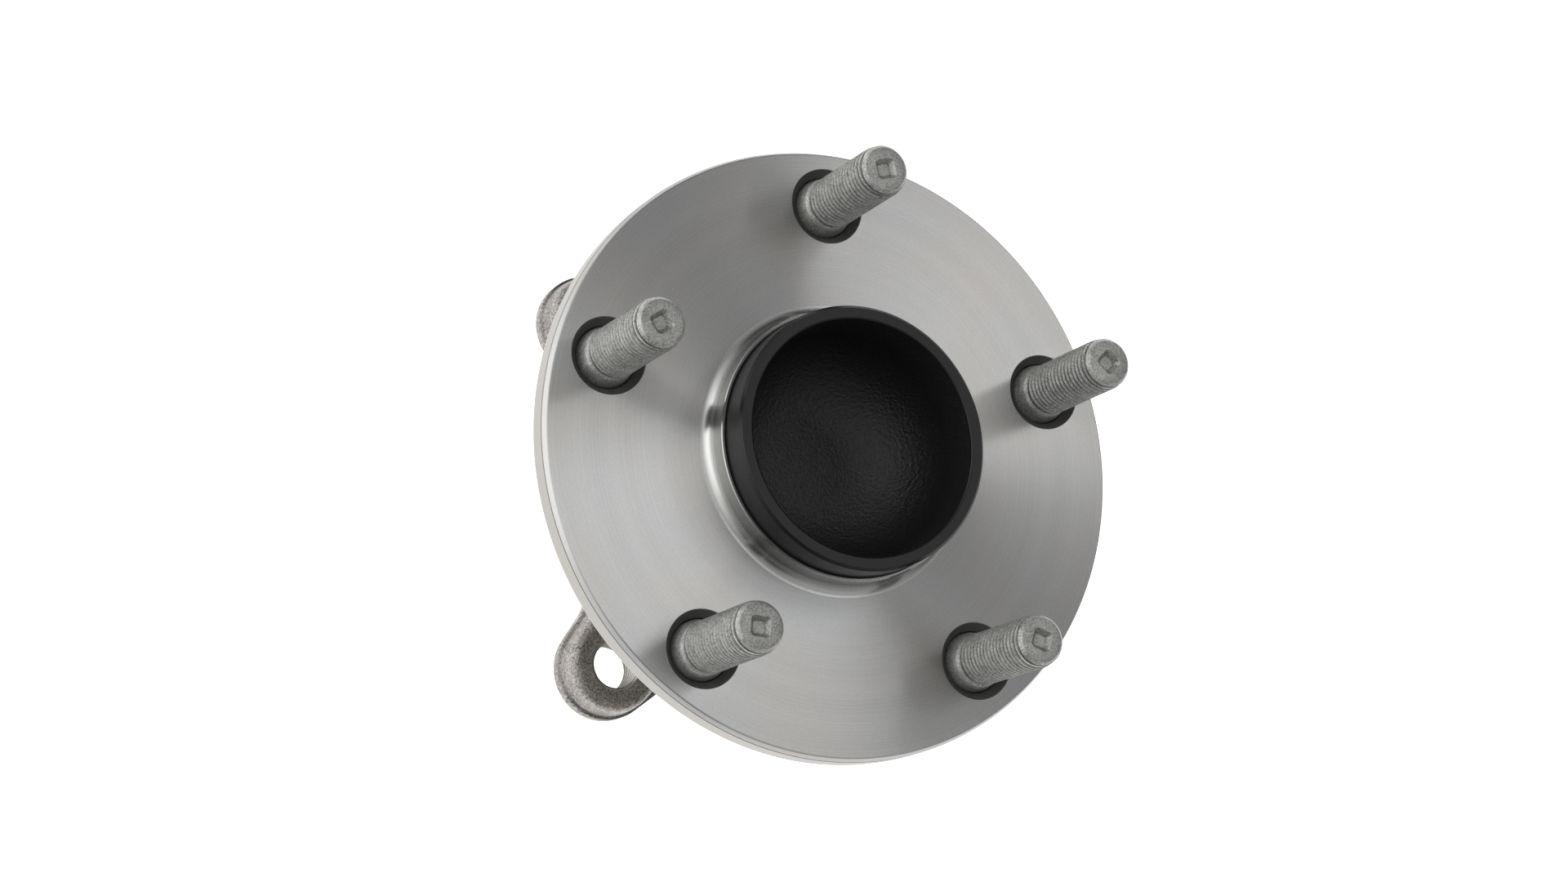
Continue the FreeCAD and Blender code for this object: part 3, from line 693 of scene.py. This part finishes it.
class HUBBEARING_OT_hub_forging(bpy.types.Operator):
    """Turns the hub forging with its flange, pilots, bowl, race and stem"""

    bl_idname = "hub_bearing.hub_forging"
    bl_label = "Hub Forging"

    def execute(self, context):
        finishes = ["face_turned_steel", "baked_dark_coat", "coated_forging",
                    "shot_blasted_forging", "ground_bearing_steel", "fine_turned_steel",
                    "turned_rim_steel", "oversprayed_steel"]
        sizes = context.scene.hub_sizes
        stations = [*self.wheel_side(sizes), *self.rim(sizes), *self.bearing_side(sizes)]
        stations = [(radius, height, finishes.index(finish)) for radius, height, finish in stations]
        mesh = turned_mesh("hub_forging", stations, TURNED_STEPS)
        mesh.transform(LIFT)
        hub = mesh_object("hub_forging", mesh, finishes, "hub", ["wheel_hub"])
        cut(hub, self.stud_holes(-sizes.flange_thickness))
        soften(hub.data, sharp_angle=28)
        return {"FINISHED"}

    @staticmethod
    def finished(points, finish):
        """Points of the profile with the finish that starts at them."""
        return [(radius, height, finish) for radius, height in points]

    def wheel_side(self, sizes):
        """Profile from the bowl's floor over both pilots to the flange face."""
        wheel_r = sizes.wheel_pilot_diameter / 2
        brake_r = sizes.brake_pilot_diameter / 2
        step_z = sizes.brake_pilot_height
        bowl_r = sizes.bowl_diameter / 2
        bowl_round = 18 * MM
        lip = 0.6 * MM
        coat_lap = 0.35 * MM
        step_edge = 0.2 * MM
        foot_round = 2.4 * MM
        bowl = [(0, -sizes.bowl_depth)]
        bowl += arc(bowl_r - bowl_round, bowl_round - sizes.bowl_depth, bowl_round, -90, 0, steps=30)
        pilot = arc(bowl_r + lip, HUB_TOP - lip, lip, 180, 90, steps=8)
        pilot += [(wheel_r - lip, HUB_TOP), (wheel_r, HUB_TOP - lip), (wheel_r, step_z)]
        step = [(wheel_r + coat_lap, step_z), (brake_r - step_edge, step_z),
                (brake_r, step_z - step_edge)]
        foot = arc(brake_r + foot_round, foot_round, foot_round, 180, 270, steps=14)[:-1]
        return [*self.finished(bowl, "coated_forging"),
                *self.finished(pilot, "baked_dark_coat"),
                *self.finished(step, "oversprayed_steel"),
                *self.finished(foot, "fine_turned_steel"),
                (brake_r + foot_round, 0, "face_turned_steel")]

    def rim(self, sizes):
        """Profile of the flange's rim: a rounded edge, then a fine groove where its own cut starts."""
        back = -sizes.flange_thickness
        edge_in = 1.05 * MM
        edge_round = 0.55 * MM
        groove_r = FLANGE_R - 0.3 * MM
        bevel = 2.3 * MM
        bevel_edge = 0.3 * MM
        edge = arc(FLANGE_R - edge_in, -edge_round, edge_round, 90, 28, steps=5)
        edge += [(FLANGE_R - 0.05 * MM, -1.26 * MM), (groove_r, -1.36 * MM)]
        wall = [(groove_r, -1.52 * MM), (FLANGE_R, -1.62 * MM)]
        heel = [(FLANGE_R, back + bevel + bevel_edge), (FLANGE_R, back + bevel)]
        return [*self.finished(edge, "face_turned_steel"),
                # The rim's wall takes the rim steel, whose darker colour is painted shade.
                *self.finished(wall, "turned_rim_steel"),
                *self.finished(heel, "face_turned_steel"),
                (FLANGE_R - bevel, back, "shot_blasted_forging")]

    def bearing_side(self, sizes):
        """Profile from the flange's back over the seal's land and the race to the stem's rolled end."""
        recess_r = 46.5 * MM
        web_r = 42 * MM
        land_r = 29.2 * MM
        shoulder_r = 26.6 * MM
        shoulder_z = -20.5 * MM
        race_top = -21.9 * MM
        race_centre = (28.63 * MM, -27.59 * MM)
        race_round = 6.19 * MM
        race_r = 22.44 * MM
        stem_r = 17 * MM
        relief = 1.5 * MM
        roll_r = 21 * MM
        roll_round = 2 * MM
        bore_r = 11.5 * MM
        bore_bevel = 2 * MM
        bore_depth = 11 * MM
        bore_tip = 14 * MM
        web = [(recess_r, -sizes.flange_thickness), (web_r, SLINGER_TOP)]
        land = [(land_r, SLINGER_TOP), (land_r, shoulder_z),
                (shoulder_r, shoulder_z), (shoulder_r, race_top)]
        race = arc(*race_centre, race_round, 109, 180, steps=10)
        stem = [(race_r, INNER_TOP), (stem_r, INNER_TOP), (stem_r, INNER_END + relief),
                (stem_r + relief, INNER_END), (roll_r + roll_round, INNER_END)]
        end = arc(roll_r, HUB_END + roll_round, roll_round, 0, -90, steps=8)
        end += [(bore_r + bore_bevel, HUB_END), (bore_r, HUB_END + bore_bevel),
                (bore_r, HUB_END + bore_depth), (0, HUB_END + bore_tip)]
        return [*self.finished(web, "shot_blasted_forging"),
                *self.finished(land + race + stem, "ground_bearing_steel"),
                *self.finished(end, "shot_blasted_forging")]

    @staticmethod
    def stud_holes(back):
        """Cutters for the studs' holes, with a coated countersink and a thin bare edge round it."""
        coated, bare = range(2)
        hole_r = 7.1 * MM
        mouth_r = 8.85 * MM
        sink_depth = 2 * MM
        edge = 0.15 * MM
        over = 1 * MM
        lining = ["coated_countersink", "fine_turned_steel"]
        hole = [(hole_r, back - over, coated), (hole_r, -sink_depth, coated),
                (mouth_r - edge, -edge, bare), (mouth_r, 0, coated), (mouth_r, over, coated)]
        return [hole_cutter("stud_hole", hole, *stud_place(number), lining) for number in range(STUDS)]


class HUBBEARING_OT_wheel_studs(bpy.types.Operator):
    """Makes the pressed-in wheel studs with their rolled threads and square-pitted tips"""

    bl_idname = "hub_bearing.wheel_studs"
    bl_label = "Wheel Studs"

    # Radius and height from the flange face, in millimetres, of the collar below the thread.
    COLLAR = ((7.15, -4.8), (6.83, -4.4), (6.83, -2.0), (6.7, -1.3), (6.15, 1.4), (6.0, 1.65),
              (5.6, 1.95), (5.3, 2.1))
    # Radius and height from the tip, in millimetres, of the bevel above the thread.
    TIP = ((5.56, -0.85), (4.95, -0.16), (4.85, -0.05), (4.7, 0.0))
    # Half width and height from the tip, in millimetres, of the square pit, and how square it is there.
    PIT = ((2.3, 0.0, 0.86), (2.1, -0.22, 0.88), (1.35, -1.3, 0.93))
    PIT_FLOOR = -1.4 * MM
    # Each pit was struck at an angle of its own, in degrees.
    PIT_TURNS = (10, 28, 82, 69, 42)

    def execute(self, context):
        shank = self.shank_rows(context.scene.hub_studs, -context.scene.hub_sizes.flange_thickness)
        for number, turn in enumerate(self.PIT_TURNS):
            rows = shank + self.pit_rows(math.radians(turn))
            mesh = rows_mesh("wheel_stud", rows, around=THREAD_STEPS)
            mesh.transform(LIFT @ Matrix.Translation((*stud_place(number), 0)))
            stud = mesh_object("threaded_stud_%d" % (number + 1), mesh, ["zinc_flake_coat"],
                               "hub", ["wheel_stud_%d" % (number + 1)])
            soften(stud.data, sharp_angle=40)
        return {"FINISHED"}

    def shank_rows(self, sizes, back):
        """Rows from the pressed-in head up the collar and the thread to the edge of the pit."""
        head_r = 9.5 * MM
        head_round = 1 * MM
        press_r = 7.15 * MM
        neck_r = 5.3 * MM
        crest_r = 5.94 * MM
        last_crest_r = 5.62 * MM
        run_out_slope = 0.8
        lead_in_slope = 0.17
        start = 2.5 * MM
        shoulder = STUD_TIP - 1.0 * MM

        def radius_at(phase, height):
            form = crest_r - sizes.thread_depth * (1 - thread_form(phase))
            run_out = neck_r + (height - start) * run_out_slope
            lead_in = last_crest_r + (shoulder - height) * lead_in_slope
            return min(form, run_out, lead_in)

        profile = [(0, STUD_HEAD)]
        profile += arc(head_r - head_round, STUD_HEAD + head_round, head_round, -90, 0, steps=5)
        profile += [(head_r, back), (press_r, back), *in_mm(self.COLLAR)]
        rows = [ring_row(radius, height, THREAD_STEPS) for radius, height in profile]
        rows += helix_rows(start, shoulder, sizes.pitch, radius_at)
        rows += [ring_row(radius, STUD_TIP + height, THREAD_STEPS)
                 for radius, height in in_mm(self.TIP)]
        return rows

    def pit_rows(self, turn):
        """Rows of the square pit that the header's punch left in a stud's tip."""
        quarter = math.pi / 2
        rows = []
        for half_width, height, squareness in self.PIT:
            row = []
            for step in range(THREAD_STEPS):
                angle = FULL_TURN * step / THREAD_STEPS
                from_side = (angle - turn + quarter / 2) % quarter - quarter / 2
                radius = half_width * MM * min(1 / math.cos(from_side), squareness * math.sqrt(2))
                row.append((radius * math.cos(angle), radius * math.sin(angle), STUD_TIP + height * MM))
            rows.append(row)
        rows.append([(0, 0, STUD_TIP + self.PIT_FLOOR)])
        return rows


class HUBBEARING_OT_outer_ring(bpy.types.Operator):
    """Dresses the forged outer ring and taps its ears"""

    bl_idname = "hub_bearing.outer_ring"
    bl_label = "Outer Ring"

    def execute(self, context):
        sizes = context.scene.hub_ears
        spigot_length = 10 * MM
        ear_thickness = 10 * MM
        over = 1 * MM
        rear = RING_END + spigot_length
        front = rear + ear_thickness
        thread_r = sizes.thread_diameter / 2
        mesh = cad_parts["outer_ring"].data.copy()
        mesh.materials.clear()
        ring = mesh_object("outer_ring_forging", mesh, ["shot_blasted_forging", "machined_ring_steel"],
                           "outer_ring", ["outer_ring"])
        places = [(x * sizes.spacing_x / 2, y * sizes.spacing_y / 2) for x in (-1, 1) for y in (-1, 1)]
        hole = [(thread_r, rear - over, 0), (thread_r, front + over, 0)]
        cut(ring, [hole_cutter("ear_hole", hole, x, y, ["machined_ring_steel"]) for x, y in places])
        self.mark_machined_faces(ring.data, rear)
        soften(ring.data, sharp_angle=24)
        rows = self.thread_rows(thread_r, rear, front, sizes.pitch)
        for number, (x, y) in enumerate(places):
            thread = rows_mesh("ear_thread", rows, closed=True, around=THREAD_STEPS)
            thread.transform(LIFT @ Matrix.Translation((x, y, 0)))
            piece = mesh_object("ear_thread_%d" % (number + 1), thread, ["tapped_steel"],
                                "outer_ring")
            soften(piece.data, sharp_angle=40)
        return {"FINISHED"}

    @staticmethod
    def mark_machined_faces(mesh, rear):
        """Gives the knuckle face, the spigot, the bore and the outboard end the machined finish."""
        forged, machined = range(2)
        spigot_r = 38.1 * MM
        bore_r = 37 * MM
        outboard_z = RING_TOP - 3 * MM
        hair = 0.01 * MM
        for face in mesh.polygons:
            centre = face.center - LIFT.translation
            radius = math.hypot(centre.x, centre.y)
            knuckle_face = face.normal.z < -0.9 and centre.z < rear + hair
            spigot = centre.z < rear and radius < spigot_r
            bore = radius < bore_r and centre.z < RING_TOP + hair
            outboard_end = centre.z > outboard_z
            on_machined = knuckle_face or spigot or bore or outboard_end
            face.material_index = machined if on_machined else forged

    @staticmethod
    def thread_rows(thread_r, rear, front, pitch):
        """Rows of a tapped thread with a bevelled mouth at each end, closed by a sleeve in the wall."""
        depth = 0.65 * MM
        sleeve_r = thread_r + 0.02 * MM
        front_bevel = 0.2 * MM
        rear_bevel = 0.35 * MM

        def radius_at(phase, height):
            crest = thread_r - depth * thread_form(phase, crest=0.22, root=0.15)
            front_mouth = thread_r - front_bevel - (front - height)
            rear_mouth = thread_r + rear_bevel - (height - rear)
            return max(crest, min(front_mouth, thread_r), min(rear_mouth, thread_r))

        rows = [ring_row(sleeve_r, front, THREAD_STEPS), ring_row(sleeve_r, rear, THREAD_STEPS)]
        return rows + helix_rows(rear, front, pitch, radius_at)


class HUBBEARING_OT_bearing(bpy.types.Operator):
    """Gives the inner ring, the balls and the cages their finishes"""

    bl_idname = "hub_bearing.bearing"
    bl_label = "Balls, Cages and Inner Ring"

    def execute(self, context):
        dress_node("inner_ring", "ground_bearing_steel")
        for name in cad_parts:
            if "_ball_" in name:
                dress_node(name, "lapped_ball_steel")
            elif name.endswith("_cage"):
                dress_node(name, "glass_filled_nylon")
        return {"FINISHED"}


class HUBBEARING_OT_seals(bpy.types.Operator):
    """Gives the seals, the encoder and the end cap their finishes"""

    bl_idname = "hub_bearing.seals"
    bl_label = "Seals, Encoder and Cap"

    def execute(self, context):
        for name, finish in (("seal_slinger", "pressed_stainless"), ("seal_case", "phosphated_sheet"),
                             ("seal_lips", "moulded_nitrile"), ("encoder_core", "phosphated_sheet"),
                             ("encoder_magnet", "magnetised_nitrile"), ("end_cap", "zinc_plated_sheet"),
                             ("end_cap_gasket", "moulded_nitrile")):
            dress_node(name, finish)
        return {"FINISHED"}


class HUBBEARING_OT_studio(bpy.types.Operator):
    """Sets up the floor, the lights and the camera"""

    bl_idname = "hub_bearing.studio"
    bl_label = "Studio"

    # Soft round glows in the sky: azimuth and elevation of the centre in degrees, the cosines of the
    # angles to it where the glow starts and where it is full, and its strength.
    GLOWS = ((165, 20, 0.4, 0.9, 0.78),
             (165, 8, 0.75, 0.95, 0.90),
             (160, 48, 0.8, 0.95, 0.28),
             (300, 20, 0.7, 0.95, 0.32),
             (0, 90, 0.5, 0.7, 0.28))
    # Soft boxes that hang over the floor and face straight down: place, width, height and power.
    BOXES = (("overhead_box", (0.345, 0.06, 1.3), 0.63, 0.44, 1.13),
             ("back_box", (0.98, 0.59, 1.3), 0.64, 0.62, 1.62))
    DIM_SKY = 0.04

    def execute(self, context):
        self.floor(context)
        self.sky(context)
        for box in self.BOXES:
            self.soft_box(context, *box)
        self.camera(context)
        context.scene.view_settings.view_transform = "Standard"
        return {"FINISHED"}

    @staticmethod
    def floor(context):
        """A plain pale floor under the spigot, bright enough to look white."""
        colour = linear(context.scene.hub_studio.floor_colour)
        half = 3.0
        height = RING_END + WHEEL_FACE
        corners = [(-half, -half, height), (half, -half, height),
                   (half, half, height), (-half, half, height)]
        mesh = bpy.data.meshes.new("studio_floor")
        mesh.from_pydata(corners, [], [(0, 1, 2, 3)])
        close_material(new_material("studio_floor"),
                       {"Base Color": colour, "Roughness": 0.9,
                        "Emission Color": colour, "Emission Strength": 1.2})
        mesh.materials.append(bpy.data.materials["studio_floor"])
        floor = bpy.data.objects.new("studio_floor", mesh)
        context.scene.collection.objects.link(floor)

    def sky(self, context):
        """A dim room with broad soft glows at the left, at the right and straight overhead."""
        world = bpy.data.worlds.new("studio")
        world.use_nodes = True
        tree = world.node_tree
        tree.nodes.clear()
        way = add(tree, "ShaderNodeTexCoord", output="Generated")
        light = self.DIM_SKY
        for azimuth, elevation, edge, core, strength in self.GLOWS:
            around, up = math.radians(azimuth), math.radians(elevation)
            centre = (math.cos(up) * math.cos(around), math.cos(up) * math.sin(around), math.sin(up))
            near = add(tree, "ShaderNodeVectorMath", {0: way, 1: centre}, operation="DOT_PRODUCT")
            glow = add(tree, "ShaderNodeMapRange",
                       {"Value": near, "From Min": edge, "From Max": core, "To Max": strength},
                       interpolation_type="SMOOTHSTEP")
            light = add(tree, "ShaderNodeMath", {0: glow, 1: light}, operation="ADD")
        room = add(tree, "ShaderNodeBackground", {"Color": linear("#ffffff"), "Strength": light})
        add(tree, "ShaderNodeOutputWorld", {"Surface": room})
        context.scene.world = world

    @staticmethod
    def soft_box(context, name, place, width, height, power):
        """A soft box that faces straight down."""
        light = bpy.data.lights.new(name, "AREA")
        light.shape = "RECTANGLE"
        light.size = width
        light.size_y = height
        light.energy = power
        lamp = bpy.data.objects.new(name, light)
        facing = Vector((0, 0, -1)).to_track_quat("-Z", "Y").to_matrix().to_4x4()
        lamp.matrix_world = Matrix.Translation(place) @ facing
        context.scene.collection.objects.link(lamp)

    @staticmethod
    def camera(context):
        """The camera at the photograph's viewing angle."""
        settings = context.scene.hub_studio
        level = settings.distance * math.cos(settings.elevation)
        aim = Vector(settings.aim) + LIFT.translation
        offset = Vector((level * math.cos(settings.azimuth), level * math.sin(settings.azimuth),
                         settings.distance * math.sin(settings.elevation)))
        data = bpy.data.cameras.new("camera")
        data.lens = settings.focal_length
        data.sensor_width = 36
        data.clip_start = 0.01
        data.clip_end = 20
        camera = bpy.data.objects.new("camera", data)
        camera.matrix_world = (Matrix.Translation(aim + offset)
                               @ (-offset).to_track_quat("-Z", "Y").to_matrix().to_4x4()
                               @ Matrix.Rotation(settings.roll, 4, "Z"))
        context.scene.collection.objects.link(camera)
        context.scene.camera = camera


class HUBBEARING_PT_sidebar(bpy.types.Panel):
    """Lists the settings and the steps"""

    bl_label = "Hub Bearing"
    bl_idname = "HUBBEARING_PT_sidebar"
    bl_space_type = "VIEW_3D"
    bl_region_type = "UI"
    bl_category = "Hub Bearing"

    def draw(self, context):
        layout = self.layout
        for group in (context.scene.hub_sizes, context.scene.hub_studs, context.scene.hub_ears,
                      context.scene.hub_finishes, context.scene.hub_studio):
            box = layout.box()
            for name in group.__annotations__:
                box.prop(group, name)
        for step in STEPS:
            layout.operator(step.bl_idname)


GROUPS = (("hub_sizes", HubSizes), ("hub_studs", StudSizes), ("hub_ears", EarSizes),
          ("hub_finishes", Finishes), ("hub_studio", StudioSettings))
STEPS = (HUBBEARING_OT_finishes, HUBBEARING_OT_hub_forging, HUBBEARING_OT_wheel_studs,
         HUBBEARING_OT_outer_ring, HUBBEARING_OT_bearing, HUBBEARING_OT_seals, HUBBEARING_OT_studio)


def register():
    """Registers the settings, the steps and the panel."""
    for name, group in GROUPS:
        bpy.utils.register_class(group)
        setattr(bpy.types.Scene, name, bpy.props.PointerProperty(type=group))
    for step in STEPS:
        bpy.utils.register_class(step)
    bpy.utils.register_class(HUBBEARING_PT_sidebar)


def unregister():
    """Takes the panel, the steps and the settings away again."""
    bpy.utils.unregister_class(HUBBEARING_PT_sidebar)
    for step in reversed(STEPS):
        bpy.utils.unregister_class(step)
    for name, group in reversed(GROUPS):
        delattr(bpy.types.Scene, name)
        bpy.utils.unregister_class(group)


def main():
    """Builds the scene."""
    register()
    bpy.ops.hub_bearing.finishes()
    bpy.ops.hub_bearing.hub_forging()
    bpy.ops.hub_bearing.wheel_studs()
    bpy.ops.hub_bearing.outer_ring()
    bpy.ops.hub_bearing.bearing()
    bpy.ops.hub_bearing.seals()
    bpy.ops.hub_bearing.studio()


if __name__ == "__main__":
    main()
